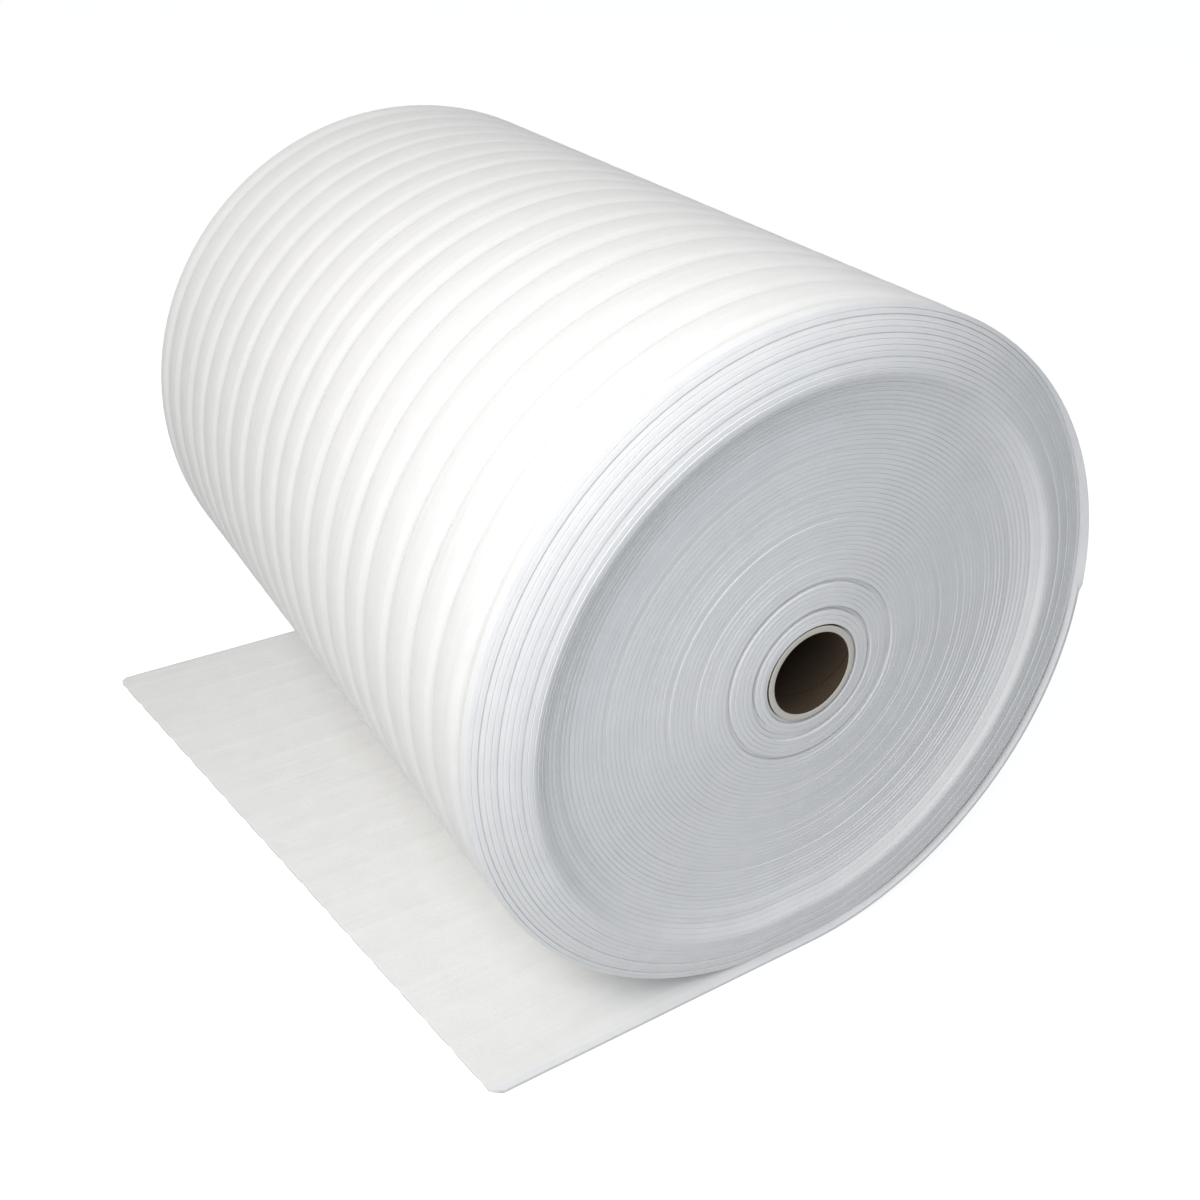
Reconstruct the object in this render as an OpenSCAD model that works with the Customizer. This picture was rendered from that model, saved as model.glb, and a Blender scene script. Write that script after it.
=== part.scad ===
// Roll of ribbed packing foam on a cardboard core, lying on its side with its free end run out flat.
// The roll's axis runs along Y, the free end points to -X and the floor is z = 0.
// The origin is on the floor under the roll's axis, halfway along the sheet's width.

/* [Sheet] */

// Width of the foam sheet, along the roll's axis.
sheet_w = 750; // [400:10:1500]
// Thickness of one ply of the sheet.
sheet_t = 4; // [3:0.5:8]
// Number of ribs across the width of the sheet.
rib_n = 18; // [8:1:24]
// How deep the valley between two ribs is in the outer face.
rib_d = 2; // [1:0.1:2.5]
// How far the same valley shows as a ridge on the inner face.
rib_back = 0.8; // [0.4:0.1:0.9]
// Width of a valley at the outer face.
valley_w = 19; // [10:1:24]
// Width of a valley along its floor.
valley_floor_w = 5; // [2:0.5:8]

/* [Roll] */

// Outer diameter of the roll.
roll_d = 612; // [400:2:800]
// How much the soft roll settles over its flat spot.
sag = 3; // [1:0.5:4]

/* [Core] */

// Bore of the cardboard tube.
core_bore_d = 76; // [50:1:110]
// Wall of the cardboard tube.
core_wall = 6; // [3:0.5:12]
// Length of the cardboard tube.
core_l = 750; // [400:10:1500]
// How far the tube has slid along the roll, measured from the sheet's near edge.
core_slip = 11; // [0:1:30]
// Clearance between the tube and the first turn of foam.
core_gap = 0.3; // [0.1:0.1:0.8]

/* [Ends of the roll] */

// How far the turns next to the core have slid back from the near edge.
slip_core = 10; // [4:1:18]
// How far the turns just inside the rim have slid back from the near edge.
slip_rim = 27; // [19:1:40]
// How far the outermost turns have slid back from the near edge.
slip_outer = 16; // [8:1:18]
// Radial width of the rim of turns that stands proud of the near end.
rim_w = 35; // [20:1:60]
// Radial width of the slope from the main face up to that rim.
rim_slope_w = 9; // [4:1:16]
// Number of stepped turns on the shoulder of the rim.
rim_steps = 4; // [2:1:6]
// Radial distance between the lines that the turns draw on the ends.
line_pitch = 17; // [12:1:40]
// Distance from the core to the first of those lines.
line_first = 17; // [12:1:40]
// Width of such a line.
line_w = 4; // [2:0.5:6]
// Depth of such a line.
line_d = 2.5; // [1:0.5:4]

/* [Free end] */

// How far right of the roll's axis the loose turn comes down on the floor.
touch_x = 19; // [8:1:60]
// Length of the free end past the axis, along the near edge of the sheet.
tail_near = 303; // [120:1:600]
// Length of the free end past the axis, along the far edge of the sheet.
tail_far = 408; // [120:1:600]
// Radius of the free end's corners.
corner_r = 10; // [2:1:30]

/* [Hidden] */

$fn = 96;

// The near edge of the sheet and its ribs.
near_y = -sheet_w / 2;
rib_pitch = sheet_w / rib_n;

// The roll without its outermost ply, which lies on it all round but for the lower right.
roll_r = roll_d / 2;
wound_r = roll_r - sheet_t;
axis_h = wound_r + sheet_t - sag;
// The outermost ply sinks this far into the turns below it, so that they are one solid.
ply_lap = 0.5;
ply_root = 6;
// Its near edge drifts back from this far right of the axis to the left side of the roll.
drift_x = 0.8 * roll_r;

// The rim and the main face inside it.
core_r = core_bore_d / 2 + core_wall;
foam_bore_r = core_r + core_gap;
rim_r = wound_r - rim_w;
face_r = rim_r - rim_slope_w;
line_n = floor((face_r - core_r - line_first) / line_pitch) + 1;

// The outermost ply drops straight off the roll at the height of its axis, then curls to the floor.
curl_r = roll_r - touch_x;
drop_l = axis_h - curl_r;

// The free end is plain as far as the roll bears on it, and ribbed from there on.
bed_margin = 8;
bed_l = ceil(sqrt(pow(roll_r, 2) - pow(axis_h - sheet_t - rib_back, 2))) + bed_margin;

// A margin for cuts that pass right through.
cut = 5;

// How far the turn at radius r has slid back, between the core and the rim.
function slip(r) = slip_core + (slip_rim - slip_core) * (r - core_r) / (face_r - core_r);

// The step of the shoulder with number i slides back further than the one inside it.
function step_slip(i) = slip_outer * pow(i / (rim_steps - 1), 2);

// A turn that lies deeper than its neighbours: a line on the near end and a ridge on the far one.
function turn_line(r) = [
    [r - line_w / 2, slip(r)], [r, slip(r) + line_d], [r + line_w / 2, slip(r)]];

// The near end of the roll from the core outwards, as [radius, place along the axis].
function end_line() = concat(
    [[foam_bore_r, slip(foam_bore_r)]],
    [for (k = [0 : line_n - 1], p = turn_line(core_r + line_first + k * line_pitch)) p],
    [[face_r, slip_rim]],
    [for (i = [0 : rim_steps - 1], s = [0, 1])
        [rim_r + (i + s) * rim_w / rim_steps, step_slip(i)]]);

// The ribbed line of the outer face, from the near edge to the far one.
function rib_line(r_out, depth) = [for (k = [0 : rib_n - 1], p = [
        [0, -valley_w / 2], [depth, -valley_floor_w / 2],
        [depth, valley_floor_w / 2], [0, valley_w / 2]])
    [r_out - p[0], (k + 0.5) * rib_pitch + p[1]]];

function shifted(points, dy) = [for (p = points) [p[0], p[1] + dy]];

function backwards(points) = [for (i = [len(points) - 1 : -1 : 0]) points[i]];

// Lays a shape that was spun about Z with its axis along Y; turning from +X goes downwards.
module about_y(x, h) {
    translate([x, 0, h])
        rotate([-90, 0, 0])
            children();
}

// Half the cross-section of the wound turns; both ends slip alike, as the sheet keeps its width.
module wound_profile() {
    near = end_line();
    translate([0, near_y])
        polygon(concat(near, backwards(shifted(near, sheet_w))));
}

// The outermost ply, rooted in the turns below it wherever they reach as far along the axis.
module top_ply_profile() {
    inner_r = wound_r - ply_lap;
    root_r = wound_r - ply_root;
    root_y = slip_outer + cut;
    translate([0, near_y])
        polygon(concat(
            [[inner_r, 0], [roll_r, 0]],
            rib_line(roll_r, rib_d),
            [[roll_r, sheet_w], [root_r, sheet_w], [root_r, root_y], [inner_r, root_y]]));
}

// The cross-section of a single ply: its outer face is at x = sheet_t.
module ply_profile() {
    outer = concat([[sheet_t, 0]], rib_line(sheet_t, rib_d), [[sheet_t, sheet_w]]);
    inner = concat([[0, 0]], rib_line(0, rib_back), [[0, sheet_w]]);
    translate([0, near_y])
        polygon(concat(outer, backwards(inner)));
}

// A straight stretch of ply that sets off in the direction of the turn.
module straight(l) {
    translate([0, l, 0])
        rotate([90, 0, 0])
            linear_extrude(l)
                children();
}

// The outermost ply lies on the other turns from under the roll, over the top, to its right side.
module top_ply() {
    left_slip = slip_outer - ply_lap;
    difference() {
        about_y(0, axis_h) {
            rotate([0, 0, 90])
                rotate_extrude(angle = 270)
                    top_ply_profile();
            straight(drop_l)
                top_ply_profile();
        }
        translate([0, 0, -roll_d])
            linear_extrude(3 * roll_d)
                polygon([
                    [drift_x, near_y], [-roll_r, near_y + left_slip],
                    [-roll_d, near_y + left_slip], [-roll_d, near_y - cut], [drift_x, near_y - cut]]);
    }
}

module wound_roll() {
    difference() {
        union() {
            about_y(0, axis_h)
                rotate([0, 0, 90])
                    rotate_extrude()
                        wound_profile();
            top_ply();
        }
        // The flat spot, where the roll rests on its own free end and is one with it.
        translate([-roll_r, near_y - cut, -roll_r])
            cube([roll_d, sheet_w + slip_rim + 2 * cut, roll_r + sheet_t - ply_lap]);
    }
}

// The turn that has come loose, where it curls down to the floor.
module loose_turn() {
    about_y(touch_x, curl_r)
        rotate_extrude(angle = 90)
            translate([curl_r - sheet_t, 0])
                ply_profile();
}

function unit(v) = v / norm(v);

// What rounding takes off the corner p, between edges that run off along u and v.
module corner_cut(p, u, v) {
    half = acos(u * v) / 2;
    centre = p + unit(u + v) * corner_r / sin(half);
    difference() {
        polygon([p, p + u * corner_r / tan(half), centre, p + v * corner_r / tan(half)]);
        translate(centre)
            circle(corner_r);
    }
}

// The free end seen from above, cut a little out of square.
module tail_outline() {
    near_c = [-tail_near, near_y];
    far_c = [-tail_far, near_y + sheet_w];
    along = [1, 0];
    up = unit(far_c - near_c);
    difference() {
        polygon([[touch_x, near_y], near_c, far_c, [touch_x, near_y + sheet_w]]);
        corner_cut(near_c, along, up);
        corner_cut(far_c, along, -up);
    }
}

// The free end flat on the floor.
module tail() {
    translate([-bed_l, near_y, 0])
        cube([bed_l + touch_x, sheet_w, sheet_t]);
    intersection() {
        about_y(-bed_l, curl_r)
            rotate([0, 0, 90])
                straight(max(tail_near, tail_far) - bed_l)
                    translate([curl_r - sheet_t, 0])
                        ply_profile();
        translate([0, 0, -cut])
            linear_extrude(sheet_t + 2 * cut)
                tail_outline();
    }
}

module foam_sheet() {
    color([0.94, 0.94, 0.94]) {
        wound_roll();
        loose_turn();
        tail();
    }
}

module core_tube() {
    color([0.66, 0.5, 0.33])
        about_y(0, axis_h)
            translate([0, 0, near_y + core_slip])
                difference() {
                    cylinder(r = core_r, h = core_l);
                    translate([0, 0, -cut])
                        cylinder(r = core_bore_d / 2, h = core_l + 2 * cut);
                }
}

foam_sheet();
core_tube();
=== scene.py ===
import math

import bpy
from mathutils import Matrix, Vector, noise


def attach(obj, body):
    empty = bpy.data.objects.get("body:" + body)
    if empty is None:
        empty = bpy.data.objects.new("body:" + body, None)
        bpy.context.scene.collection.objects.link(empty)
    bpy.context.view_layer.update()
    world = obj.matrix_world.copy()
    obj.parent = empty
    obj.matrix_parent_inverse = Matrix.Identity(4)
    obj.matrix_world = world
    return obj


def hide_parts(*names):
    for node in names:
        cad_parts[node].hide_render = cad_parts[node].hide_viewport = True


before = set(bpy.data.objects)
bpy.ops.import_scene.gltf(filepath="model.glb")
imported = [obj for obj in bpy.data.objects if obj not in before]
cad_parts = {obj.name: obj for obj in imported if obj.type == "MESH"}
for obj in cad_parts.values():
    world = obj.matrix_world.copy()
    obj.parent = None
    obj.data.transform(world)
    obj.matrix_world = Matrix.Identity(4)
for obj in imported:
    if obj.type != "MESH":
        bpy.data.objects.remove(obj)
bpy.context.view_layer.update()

# Foam wrap roll: 75 m of ribbed polyethylene foam on a cardboard core. The roll's axis runs along Y,
# the free end lies on the floor towards -X, and the near end faces -Y. Lengths are in metres.
# A turn is counted from the outside of the roll, and starts at +X.

# The sheet, and the roll and its bore.
SHEET_WIDTH = 0.750
NEAR_Y = -SHEET_WIDTH / 2
PLY = 0.004
ROLL_R = 0.306
AXIS_H = 0.303
BORE_R = 0.0443

# The cardboard tube.
CORE_R = 0.044
CORE_WALL = 0.006
CORE_LENGTH = 0.750
CORE_Y = 0.011
CORE_RIM = 0.0007
CORE_SIDES = 128
STRIP_WIDTH = 0.09

# The loose turn curls to the floor about (CURL_X, CURL_R); the free end goes on from there.
CURL_R = 0.287
CURL_X = 0.019
TAIL_NEAR = 0.303
TAIL_FAR = 0.408
TAIL_STEPS = 34
CORNER_R = 0.010

# Valleys in the outer face, the ridges that show of them on the inner one, and half their width.
RIB_COUNT = 18
RIB_DEPTH = 0.0031
RIB_BACK = 0.0008
RIB_HALF = 0.0100
RIB_STRAY = 0.0045
# The sheet's stations between its edges and the outermost valleys.
NEAR_EDGE_PLACES = (0.0062, 0.0085)
FAR_EDGE_MARGIN = 0.005
# How much of the ribs' depth is left where the sheet lies flat.
FLAT_RELIEF = 0.7

# Material slots of both foam pieces.
SKIN = 0
CUT = 1

# Stations in each turn, the rounding of cut edges, and the air between two turns.
STEPS = 120
STEP_A = 2 * math.pi / STEPS
EDGE = 0.0003
SOFT_EDGE = 0.0005
AIR = 0.00015
# The free end thins out over END_ROUND, and the innermost turn ends at END_GAP of its thickness.
END_ROUND = 0.0006
END_GAP = 0.0007

# Edges sharper than this aren't shaded smooth.
FOAM_CREASE = math.radians(40)
BOARD_CREASE = math.radians(50)

# Under the roll's weight a turn flattens where it points down by more than this, softened over
# the length SQUASH_EASE.
SQUASH_FROM = 0.3
SQUASH_EASE = 0.0012

# How far the sheet's edge has slid back, in millimetres, by the number of turns from the outside.
SLIP_KNOTS = (
    (-0.06, 0.0), (0.16, 19.6), (0.55, 18.6), (1.0, 17.5), (2.0, 15.2), (3.0, 13.0), (4.0, 10.9),
    (5.0, 8.9), (6.0, 7.1), (7.0, 5.4), (8.0, 3.9), (9.0, 2.5), (10.0, 1.4), (11.0, 0.6), (12.0, 0.3),
    (12.8, 1.2), (14.6, 5.6), (16.4, 8.8), (19.0, 11.6), (25.0, 14.4), (36.0, 15.2),
    (50.0, 13.2), (65.5, 10.6),
)
# The shoulder of the rim has slipped furthest at the upper left, and least at the lower right.
# From there to SLOPE_TURNS, the slip eases from knot to knot.
RIM_TURNS = 12
SLOPE_TURNS = 20
LEAN_MEAN = 0.62
LEAN_SWING = 0.38
LEAN_TOWARDS = math.radians(140)
# Turns that lie a little deeper than their neighbours and draw a dark ring: turn, depth.
DEEP_TURNS = (
    (2.4, 0.4), (5.6, 0.4), (9.2, 0.4), (21.2, 0.4), (27.6, 0.5), (34.1, 0.4), (41.3, 0.7), (47.8, 0.4),
    (55.4, 3.2), (61.2, 4.6), (65.0, 3.0),
)

# How far each turn of the face strays from that, in millimetres: from turn to turn, and slowly.
FINE_STRAY = 0.16
DRIFT_STRAY = 0.5
# The steepest bevel of a turn's edge, and the turn where bevels end.
BEVEL_MOST = 0.004
BEVEL_TURNS = 21


def smooth(t):
    """0 to 1 with level ends, for t from 0 to 1."""
    t = min(max(t, 0.0), 1.0)
    return t * t * (3 - 2 * t)


def slip(turn):
    """How far the sheet's near edge lies behind the near plane, in metres, at this turn."""
    if turn <= SLIP_KNOTS[0][0]:
        return 0.0
    depth = SLIP_KNOTS[-1][1]
    for (t0, d0), (t1, d1) in zip(SLIP_KNOTS, SLIP_KNOTS[1:]):
        if turn <= t1:
            share = (turn - t0) / (t1 - t0)
            depth = d0 + (d1 - d0) * (smooth(share) if RIM_TURNS < t1 < SLOPE_TURNS else share)
            break
    if turn < RIM_TURNS:
        depth *= LEAN_MEAN + LEAN_SWING * math.cos(turn * 2 * math.pi - LEAN_TOWARDS)
    for centre, deeper in DEEP_TURNS:
        depth += deeper * smooth(1.5 - 2 * abs(turn - centre))
    settled = smooth((turn - RIM_TURNS) / 4)
    fine = noise.noise(Vector((turn * 1.9, 3.7, 0.4))) * FINE_STRAY
    drift = noise.noise(Vector((turn * 0.37, 8.1, 2.2))) * DRIFT_STRAY
    return (depth + settled * (fine + drift)) * 0.001


def bevel(turn):
    """How much further back the edge lies at the sheet's outer face than at its inner one, where
    the rim's turns are pressed into a soft shoulder; negative on the slope down to the face."""
    step = slip(turn) - slip(turn + 1)
    return min(max(step, -BEVEL_MOST), BEVEL_MOST) * smooth((BEVEL_TURNS - turn) / 2)


def squash(r, angle, outer):
    """The radius r in this direction once the roll's weight has flattened its underside."""
    down = -math.sin(angle)
    if down < SQUASH_FROM:
        return r
    over = outer - (AXIS_H - PLY) / down
    give = 0.5 * (over + math.hypot(over, SQUASH_EASE))
    return r - give * smooth((r / outer - 0.5) / 0.5)


def turn_point(turn, depth):
    """The place in X and Z on the sheet at this turn, this deep below its outer face."""
    angle = turn * 2 * math.pi
    outer = ROLL_R - PLY * (turn % 1.0)
    r = squash(ROLL_R - PLY * turn - depth, angle, outer)
    return r * math.cos(angle), AXIS_H + r * math.sin(angle)


def add_piece(name, rings, faces, materials, slot_of_face):
    """Makes an object of a lofted sheet, with its material slots by face."""
    verts = [point for ring in rings for point in ring]
    mesh = bpy.data.meshes.new(name)
    mesh.from_pydata(verts, [], faces)
    for material in materials:
        mesh.materials.append(material)
    mesh.polygons.foreach_set("material_index", slot_of_face)
    mesh.update()
    piece = bpy.data.objects.new(name, mesh)
    bpy.context.collection.objects.link(piece)
    bpy.ops.object.select_all(action="DESELECT")
    piece.select_set(True)
    bpy.context.view_layer.objects.active = piece
    bpy.ops.object.shade_smooth_by_angle(angle=FOAM_CREASE)
    piece.select_set(False)
    return piece


def loft(rings):
    """Faces that join closed rings of equal length one after another."""
    count = len(rings[0])
    faces = []
    for k in range(len(rings) - 1):
        low, high = k * count, (k + 1) * count
        for i in range(count):
            j = (i + 1) % count
            faces.append((low + i, low + j, high + j, high + i))
    return faces


def edge_arc(radius):
    """The sheet's rounded outer corner, as depths below the outer face and behind the edge."""
    return [
        (radius * (1 - math.cos(a)), radius * (1 - math.sin(a)))
        for a in (0.0, math.pi / 6, math.pi / 3, math.pi / 2)
    ]


def wound_turns(materials):
    """All the turns under the outermost one, as the single spiral of sheet that they are."""
    last = (ROLL_R - BORE_R - END_GAP) / PLY
    stations = [1 + k / STEPS for k in range(int((last - 1) * STEPS))] + [last]
    rings = []
    for turn in stations:
        near = NEAR_Y + slip(turn)
        far = near + SHEET_WIDTH
        inner = min(PLY - AIR, ROLL_R - PLY * turn - BORE_R)
        arc = edge_arc(SOFT_EDGE + (EDGE - SOFT_EDGE) * smooth((turn - 8) / 2))
        slant = bevel(turn)
        outer_back, inner_back = max(slant, 0.0), max(-slant, 0.0)
        section = [(below, near + back + outer_back * (1 - below / PLY)) for below, back in arc]
        section += [(inner - EDGE, near + inner_back), (inner, near + EDGE + inner_back)]
        section += [(inner, far - EDGE), (inner - EDGE, far)]
        section += [(below, far - back) for below, back in reversed(arc)]
        ring = []
        for depth, y in section:
            x, z = turn_point(turn, depth)
            ring.append((x, y, z))
        rings.append(ring)
    faces = loft(rings)
    size = len(rings[0])
    slots = ([CUT] * 5 + [SKIN] + [CUT] * 5 + [SKIN]) * (len(rings) - 1)
    faces.append(tuple(reversed(range(size))))
    end = (len(rings) - 1) * size
    faces.append(tuple(range(end, end + size)))
    slots += [CUT, CUT]
    return add_piece("foam_wound_turns", rings, faces, materials, slots)


def rib_centres():
    """Where the valleys between ribs lie across the sheet; a real sheet's are never quite even."""
    pitch = SHEET_WIDTH / RIB_COUNT
    return [
        (k + 0.5) * pitch + RIB_STRAY * noise.noise(Vector((k * 1.7, 0.3, 5.5)))
        for k in range(RIB_COUNT)
    ]


RIBS = rib_centres()


def valley(across):
    """0 on a rib's crest to 1 in the middle of a valley."""
    best = 0.0
    for centre in RIBS:
        away = abs(across - centre) / RIB_HALF
        if away < 1:
            best = max(best, math.cos(away * math.pi / 2) ** 2)
    return best


def across_places():
    """Places across the sheet, close together in the valleys."""
    places = list(NEAR_EDGE_PLACES)
    for centre in RIBS:
        places += [centre + d * RIB_HALF for d in (-1.0, -0.7, -0.4, 0.0, 0.4, 0.7, 1.0)]
    for left, right in zip(RIBS, RIBS[1:]):
        places.append((left + right) / 2)
    places += [SHEET_WIDTH - FAR_EDGE_MARGIN, SHEET_WIDTH - SOFT_EDGE]
    return sorted(places)


def tail_end(across):
    """How far left the free end reaches at this place across the sheet, with rounded corners."""
    reach = TAIL_NEAR + (TAIL_FAR - TAIL_NEAR) * across / SHEET_WIDTH
    side = min(across, SHEET_WIDTH - across)
    if side < CORNER_R:
        reach -= CORNER_R - math.sqrt(CORNER_R ** 2 - (CORNER_R - side) ** 2)
    return -reach


def outer_path():
    """Stations along the outermost turn, from its hidden inner end to the start of the free end:
    the place of the outer face in X and Z, the sheet's slip and bevel, and how strongly its ribs
    stand out there, since they fade where the sheet lies flat."""
    path = []
    for k in range(STEPS + 1):
        turn = 1 - k / STEPS
        angle = turn * 2 * math.pi
        r = squash(ROLL_R - PLY * turn, angle, ROLL_R - PLY * turn)
        x, z = r * math.cos(angle), AXIS_H + r * math.sin(angle)
        path.append((x, z, slip(turn), bevel(turn), 1.0))
    drop = AXIS_H - CURL_R
    path.append((ROLL_R, AXIS_H - drop / 2, 0.0, 0.0, 1.0))
    for k in range(STEPS // 4 + 1):
        angle = k * STEP_A
        x, z = CURL_X + CURL_R * math.cos(angle), CURL_R - CURL_R * math.sin(angle)
        path.append((x, z, 0.0, 0.0, 1 - (1 - FLAT_RELIEF) * smooth(2 * angle / math.pi)))
    return path


def outer_turn(materials):
    """The outermost turn with the loose turn and the free end, one sheet ribbed on both faces."""
    places = across_places()
    count = len(places)
    depths = [valley(s) for s in places]
    path = outer_path()
    arc = edge_arc(SOFT_EDGE)[1:]
    rings = []

    def ring_at(point_of, normal, slid=0.0, slant=0.0, relief=FLAT_RELIEF, thin=0.0):
        """point_of gives the outer face's place in X and Z for a place across the sheet."""
        nx, nz = normal

        def vertex(across, below):
            x, z = point_of(across)
            return x - nx * below, NEAR_Y + slid + across, z - nz * below

        ring = [vertex(s, RIB_DEPTH * relief * v + thin) for s, v in zip(places, depths)]
        ring += [vertex(SHEET_WIDTH - back, below + thin) for below, back in arc]
        ring.append(vertex(SHEET_WIDTH, PLY - EDGE - thin))
        ring += [
            vertex(s, PLY + RIB_BACK * relief * v - thin)
            for s, v in reversed(list(zip(places, depths)))
        ]
        ring.append(vertex(0.0, PLY - EDGE - thin))
        ring += [
            vertex(back + slant * (1 - below / PLY), below + thin) for below, back in reversed(arc)
        ]
        rings.append(ring)

    for k, (x, z, slid, slant, relief) in enumerate(path):
        before = path[max(k - 1, 0)]
        after = path[min(k + 1, len(path) - 1)]
        along = Vector((after[0] - before[0], after[1] - before[1])).normalized()
        if k == len(path) - 1:
            along = Vector((-1, 0))
        ring_at(lambda s, x=x, z=z: (x, z), (-along.y, along.x), slid, slant, relief)

    for k in range(1, TAIL_STEPS + 1):
        share = k / TAIL_STEPS
        ring_at(lambda s: (CURL_X + share * (tail_end(s) + END_ROUND - CURL_X), 0.0), (0, -1))
    ring_at(lambda s: (tail_end(s), 0.0), (0, -1), thin=END_ROUND)

    faces = loft(rings)
    size = len(rings[0])
    slots = ([SKIN] * (count - 1) + [CUT] * 5) * 2 * (len(rings) - 1)

    def cap(start, turned):
        """Closes the sheet's end, quad by quad, across its thickness."""
        far = [start + i for i in range(count - 1, count + 5)]
        near = [start, start + size - 5] + [start + i for i in range(size - 4, size)]
        quads = [
            [start + i, start + i + 1, start + size - 6 - i, start + size - 5 - i]
            for i in range(count - 1)
        ]
        for face in quads + [far, near]:
            faces.append(tuple(face if turned else reversed(face)))
        slots.extend([CUT] * (count + 1))

    cap(0, False)
    cap((len(rings) - 1) * size, True)
    return add_piece("foam_outer_turn_and_free_end", rings, faces, materials, slots)


def linear(hex_colour):
    """A colour written as sRGB hex, as the linear values that a shader takes."""
    channels = [int(hex_colour[i:i + 2], 16) / 255 for i in (0, 2, 4)]
    values = [c / 12.92 if c <= 0.04045 else ((c + 0.055) / 1.055) ** 2.4 for c in channels]
    return (*values, 1.0)


def add_node(tree, kind, links=(), **settings):
    """Adds a node, sets its properties and inputs by name, and links inputs to other sockets."""
    node = tree.nodes.new(kind)
    for key, value in settings.items():
        if key.startswith("in_"):
            node.inputs[key[3:].replace("_", " ")].default_value = value
        else:
            setattr(node, key, value)
    for socket, source in links:
        tree.links.new(source, node.inputs[socket])
    return node


def new_material(name):
    """An empty node-based material and its node tree."""
    material = bpy.data.materials.new(name)
    material.use_nodes = True
    material.node_tree.nodes.clear()
    return material, material.node_tree


def math_node(tree, operation, first, second):
    """A Math node's output; each operand is a socket or a plain value."""
    node = add_node(tree, "ShaderNodeMath", operation=operation)
    for socket, operand in zip(node.inputs, (first, second)):
        if isinstance(operand, (int, float)):
            socket.default_value = operand
        else:
            tree.links.new(operand, socket)
    return node.outputs[0]


def colour_mix(tree, factor, colour, shade):
    """The output of a mix of two colours written as sRGB hex."""
    mixed = add_node(tree, "ShaderNodeMix", [("Factor", factor)], data_type="RGBA")
    mixed.inputs[6].default_value = linear(colour)
    mixed.inputs[7].default_value = linear(shade)
    return mixed.outputs[2]


def finish_material(tree, colour, height, bump_strength, bump_distance, roughness):
    """A rough, bumped surface in the given colour, as the material's output."""
    bump = add_node(
        tree, "ShaderNodeBump", [("Height", height)],
        in_Strength=bump_strength, in_Distance=bump_distance)
    shader = add_node(
        tree, "ShaderNodeBsdfPrincipled",
        [("Base Color", colour), ("Normal", bump.outputs["Normal"])],
        in_Roughness=roughness, in_IOR=1.5)
    add_node(tree, "ShaderNodeOutputMaterial", [("Surface", shader.outputs["BSDF"])])


def foam_material(name, colour, shade, cell_mm, streak, roughness):
    """White closed-cell foam: cells of cell_mm, faint streaks along the sheet, and a soft mottle."""
    material, tree = new_material(name)
    place = add_node(tree, "ShaderNodeTexCoord").outputs["Object"]
    # The sheet's length lies in X and Z all along, so streaks vary quickly with Y alone.
    drawn = add_node(tree, "ShaderNodeMapping", [("Vector", place)], in_Scale=(7.0, 210.0, 7.0))
    streaks = add_node(
        tree, "ShaderNodeTexNoise", [("Vector", drawn.outputs["Vector"])],
        in_Scale=1.0, in_Detail=2.0).outputs["Fac"]
    cells = add_node(
        tree, "ShaderNodeTexVoronoi", [("Vector", place)],
        in_Scale=1 / (cell_mm * 0.001)).outputs["Distance"]
    cloud = add_node(
        tree, "ShaderNodeTexNoise", [("Vector", place)], in_Scale=38.0, in_Detail=1.0).outputs["Fac"]
    mottle = math_node(tree, "ADD", cloud, streaks)
    tint = add_node(
        tree, "ShaderNodeMapRange", [("Value", mottle)], in_From_Min=0.6, in_From_Max=1.4)
    mixed = colour_mix(tree, tint.outputs["Result"], colour, shade)
    height = math_node(tree, "ADD", cells, math_node(tree, "MULTIPLY", streaks, streak))
    finish_material(tree, mixed, height, 1.0, 0.00018, roughness)
    return material


def board_material(name, colour, shade, seam_shade, roughness):
    """Paper board: short fibres, and the seam of the strip that the tube is wound from, which a
    seam_shade of 1 leaves out."""
    material, tree = new_material(name)
    place = add_node(tree, "ShaderNodeTexCoord").outputs["Object"]
    apart = add_node(tree, "ShaderNodeSeparateXYZ", [("Vector", place)])
    height = math_node(tree, "SUBTRACT", apart.outputs["Z"], AXIS_H)
    around = math_node(tree, "ARCTAN2", height, apart.outputs["X"])
    strip = math_node(
        tree, "ADD", math_node(tree, "DIVIDE", apart.outputs["Y"], STRIP_WIDTH),
        math_node(tree, "DIVIDE", around, 2 * math.pi))
    across = add_node(tree, "ShaderNodeMath", [(0, strip)], operation="FRACT")
    seam = add_node(
        tree, "ShaderNodeMapRange", [("Value", across.outputs[0])],
        in_From_Min=0.0, in_From_Max=0.02, in_To_Min=seam_shade, in_To_Max=1.0).outputs["Result"]
    fibre = add_node(
        tree, "ShaderNodeTexNoise", [("Vector", place)],
        in_Scale=420.0, in_Detail=3.0).outputs["Fac"]
    lined = add_node(
        tree, "ShaderNodeVectorMath",
        [(0, colour_mix(tree, fibre, colour, shade)), ("Scale", seam)], operation="SCALE")
    relief = math_node(tree, "ADD", fibre, seam)
    finish_material(tree, lined.outputs[0], relief, 0.6, 0.0003, roughness)
    return material


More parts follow.
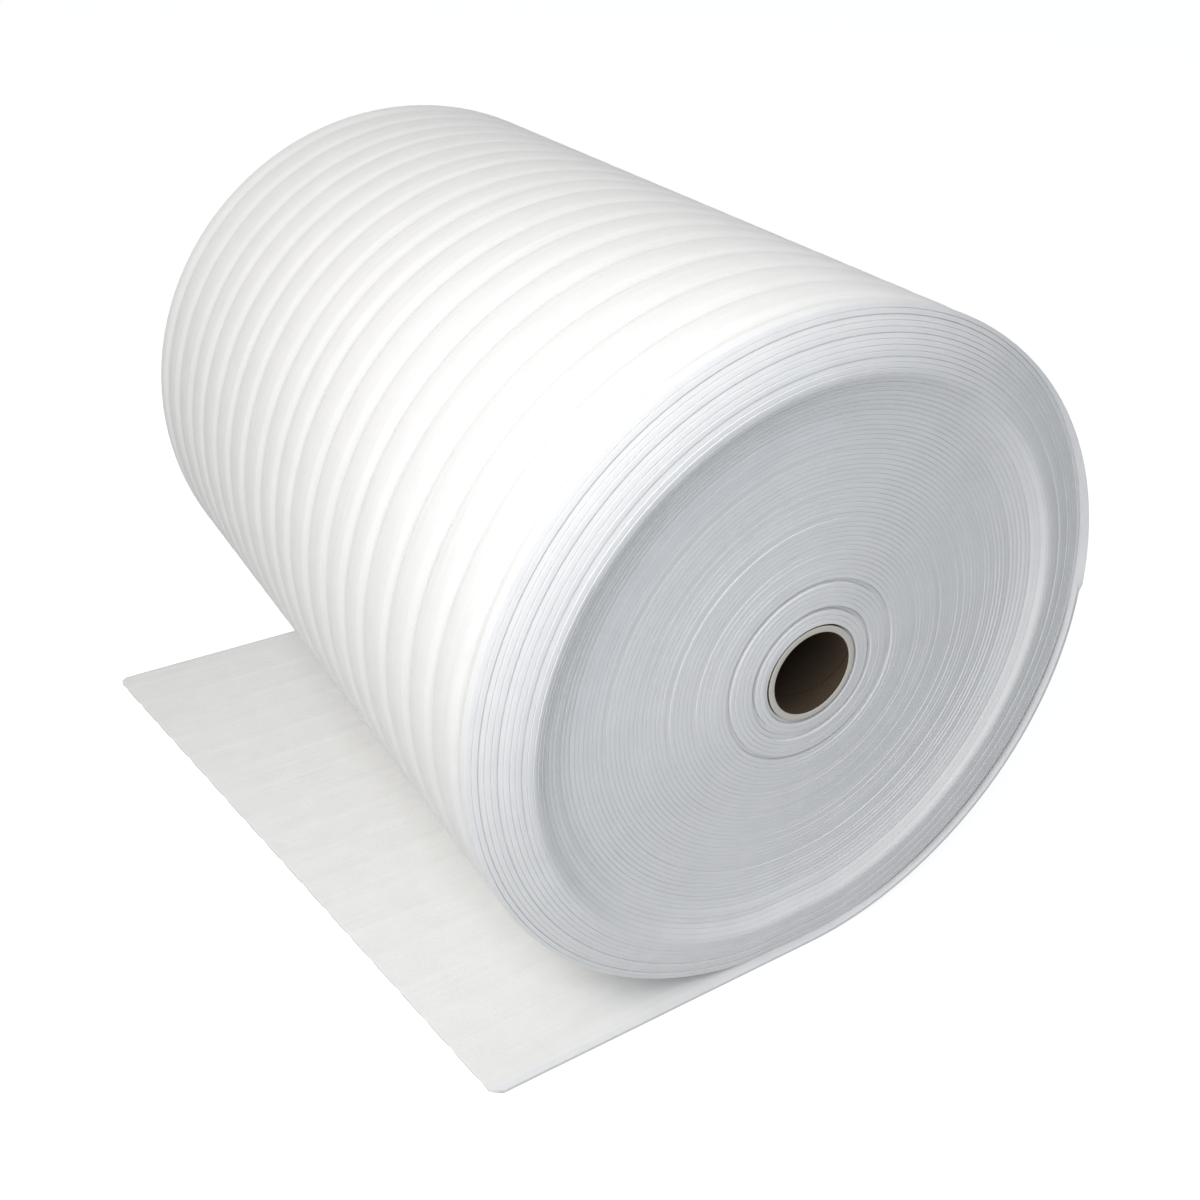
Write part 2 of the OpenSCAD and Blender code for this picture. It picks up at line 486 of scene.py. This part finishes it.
def core_tube(materials):
    """The tube that the foam is wound on: board of even thickness with lightly crushed rims."""
    bpy.ops.mesh.primitive_cylinder_add(
        vertices=CORE_SIDES, radius=CORE_R, depth=CORE_LENGTH, end_fill_type="NOTHING",
        location=(0, 0, 0))
    tube = bpy.context.object
    tube.name = "core_board_tube"
    for material in materials:
        tube.data.materials.append(material)
    bpy.ops.object.mode_set(mode="EDIT")
    bpy.ops.mesh.select_all(action="SELECT")
    bpy.ops.transform.rotate(value=math.pi / 2, orient_axis="X", center_override=(0, 0, 0))
    bpy.ops.transform.translate(value=(0, CORE_Y, AXIS_H))
    bpy.ops.object.mode_set(mode="OBJECT")
    wall = tube.modifiers.new("wall", "SOLIDIFY")
    wall.thickness = CORE_WALL
    wall.offset = -1
    wall.material_offset_rim = 1
    bpy.ops.object.modifier_apply(modifier="wall")
    rims = tube.modifiers.new("rims", "BEVEL")
    rims.width = CORE_RIM
    rims.segments = 2
    rims.limit_method = "ANGLE"
    bpy.ops.object.modifier_apply(modifier="rims")
    bpy.ops.object.shade_smooth_by_angle(angle=BOARD_CREASE)
    tube.select_set(False)
    return tube


# The camera's place and turn, and its focal length and centre in pixels of the photograph.
CAMERA_PLACE = (-0.60098, -1.03737, 0.90530)
CAMERA_YAW, CAMERA_PITCH, CAMERA_ROLL = (math.radians(a) for a in (35.36, 30.83, 2.69))
PHOTO_PIXELS = 1200
FOCAL_PIXELS = 1331.96
CENTRE_PIXELS = (691.8, 596.9)
SENSOR_MM = 36


def camera():
    """The photograph's viewpoint, fitted to the roll's outline, hole and free end."""
    yaw, pitch, roll = CAMERA_YAW, CAMERA_PITCH, CAMERA_ROLL
    ahead = math.cos(pitch)
    forward = Vector((math.sin(yaw) * ahead, math.cos(yaw) * ahead, -math.sin(pitch)))
    level = Vector((math.cos(yaw), -math.sin(yaw), 0))
    above = level.cross(forward)
    right = level * math.cos(roll) + above * math.sin(roll)
    up = above * math.cos(roll) - level * math.sin(roll)
    data = bpy.data.cameras.new("camera")
    data.sensor_width = SENSOR_MM
    data.lens = FOCAL_PIXELS / PHOTO_PIXELS * SENSOR_MM
    data.shift_x = (PHOTO_PIXELS / 2 - CENTRE_PIXELS[0]) / PHOTO_PIXELS
    data.shift_y = (CENTRE_PIXELS[1] - PHOTO_PIXELS / 2) / PHOTO_PIXELS
    lens = bpy.data.objects.new("camera", data)
    turned = Matrix((right, up, -forward)).transposed().to_4x4()
    lens.matrix_world = Matrix.Translation(Vector(CAMERA_PLACE)) @ turned
    bpy.context.collection.objects.link(lens)
    bpy.context.scene.camera = lens


def lamp(name, place, aim, size, power, colour):
    """A round area lamp at place, aimed at aim, of size metres and power watts."""
    data = bpy.data.lights.new(name, "AREA")
    data.shape = "DISK"
    data.size = size
    data.energy = power
    data.color = linear(colour)[:3]
    light = bpy.data.objects.new(name, data)
    light.location = place
    light.rotation_euler = (Vector(aim) - Vector(place)).to_track_quat("-Z", "Y").to_euler()
    bpy.context.collection.objects.link(light)


WORLD_STRENGTH = 0.385
FLOOR_SIZE = 60
# The floor's own light, seen by the camera alone, which lifts it to the photograph's white.
FLOOR_GLOW = 0.72
# Name, place, aim, size in metres, power in watts, colour.
LAMPS = (
    ("key", (-0.90, -0.55, 1.45), (0, -0.05, 0.35), 0.7, 5.7, "FFF8EE"),
    ("high", (-1.9, -0.7, 2.6), (0, 0, 0.3), 1.2, 20, "FFFAF3"),
    ("front", (-0.75, -0.95, 1.15), (-0.1, -0.3, 0.4), 0.5, 4.2, "E9F0FA"),
)


def studio():
    """A white room: even light from all round, a white floor that keeps the shadow, three lamps."""
    scene = bpy.context.scene
    scene.view_settings.view_transform = "Standard"
    world = bpy.data.worlds.new("studio")
    scene.world = world
    world.use_nodes = True
    tree = world.node_tree
    tree.nodes.clear()
    rays = add_node(tree, "ShaderNodeLightPath")
    light = add_node(
        tree, "ShaderNodeBackground", in_Color=linear("F1F5FA"), in_Strength=WORLD_STRENGTH)
    white = add_node(tree, "ShaderNodeBackground", in_Color=linear("FFFFFF"), in_Strength=1.0)
    seen = math_node(
        tree, "MAXIMUM", rays.outputs["Is Camera Ray"], rays.outputs["Is Glossy Ray"])
    both = add_node(
        tree, "ShaderNodeMixShader", [(0, seen), (1, light.outputs[0]), (2, white.outputs[0])])
    add_node(tree, "ShaderNodeOutputWorld", [("Surface", both.outputs[0])])

    bpy.ops.mesh.primitive_plane_add(size=FLOOR_SIZE, location=(0, 0, 0))
    floor = bpy.context.object
    floor.name = "studio_floor"
    material, tree = new_material("studio floor")
    rays = add_node(tree, "ShaderNodeLightPath")
    paper = add_node(tree, "ShaderNodeBsdfDiffuse", in_Color=linear("E6E6E6"))
    glow = add_node(
        tree, "ShaderNodeEmission", in_Color=linear("FFFFFF"), in_Strength=FLOOR_GLOW)
    lit = add_node(tree, "ShaderNodeAddShader", [(0, paper.outputs[0]), (1, glow.outputs[0])])
    both = add_node(
        tree, "ShaderNodeMixShader",
        [(0, rays.outputs["Is Camera Ray"]), (1, paper.outputs[0]), (2, lit.outputs[0])])
    add_node(tree, "ShaderNodeOutputMaterial", [("Surface", both.outputs[0])])
    floor.data.materials.append(material)
    floor.select_set(False)

    for settings in LAMPS:
        lamp(*settings)


bpy.ops.object.select_all(action="DESELECT")
camera()
foam_skin = foam_material("expanded polyethylene foam skin", "F6F6F5", "F1F1F0", 1.3, 2.5, 0.55)
foam_cut = foam_material("expanded polyethylene foam cut edge", "F2F3F4", "ECEDEE", 1.0, 0.0, 0.75)
# These board colours are darkened far below the tube's real brown: real brown board with painted shade
# for the inside of the bore.
kraft_with_painted_bore_shade = board_material("spiral wound kraft board", "4A3B2A", "3A2E20", 0.35, 0.85)
board_edge = board_material("cut edge of grey paper board", "DEDAD1", "CFCABF", 1.0, 0.9)

wound = wound_turns((foam_skin, foam_cut))
outer = outer_turn((foam_skin, foam_cut))
for piece in (wound, outer):
    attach(piece, "root")
    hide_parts("foam_sheet")

core = core_tube((kraft_with_painted_bore_shade, board_edge))
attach(core, "root")
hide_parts("core_tube")

studio()
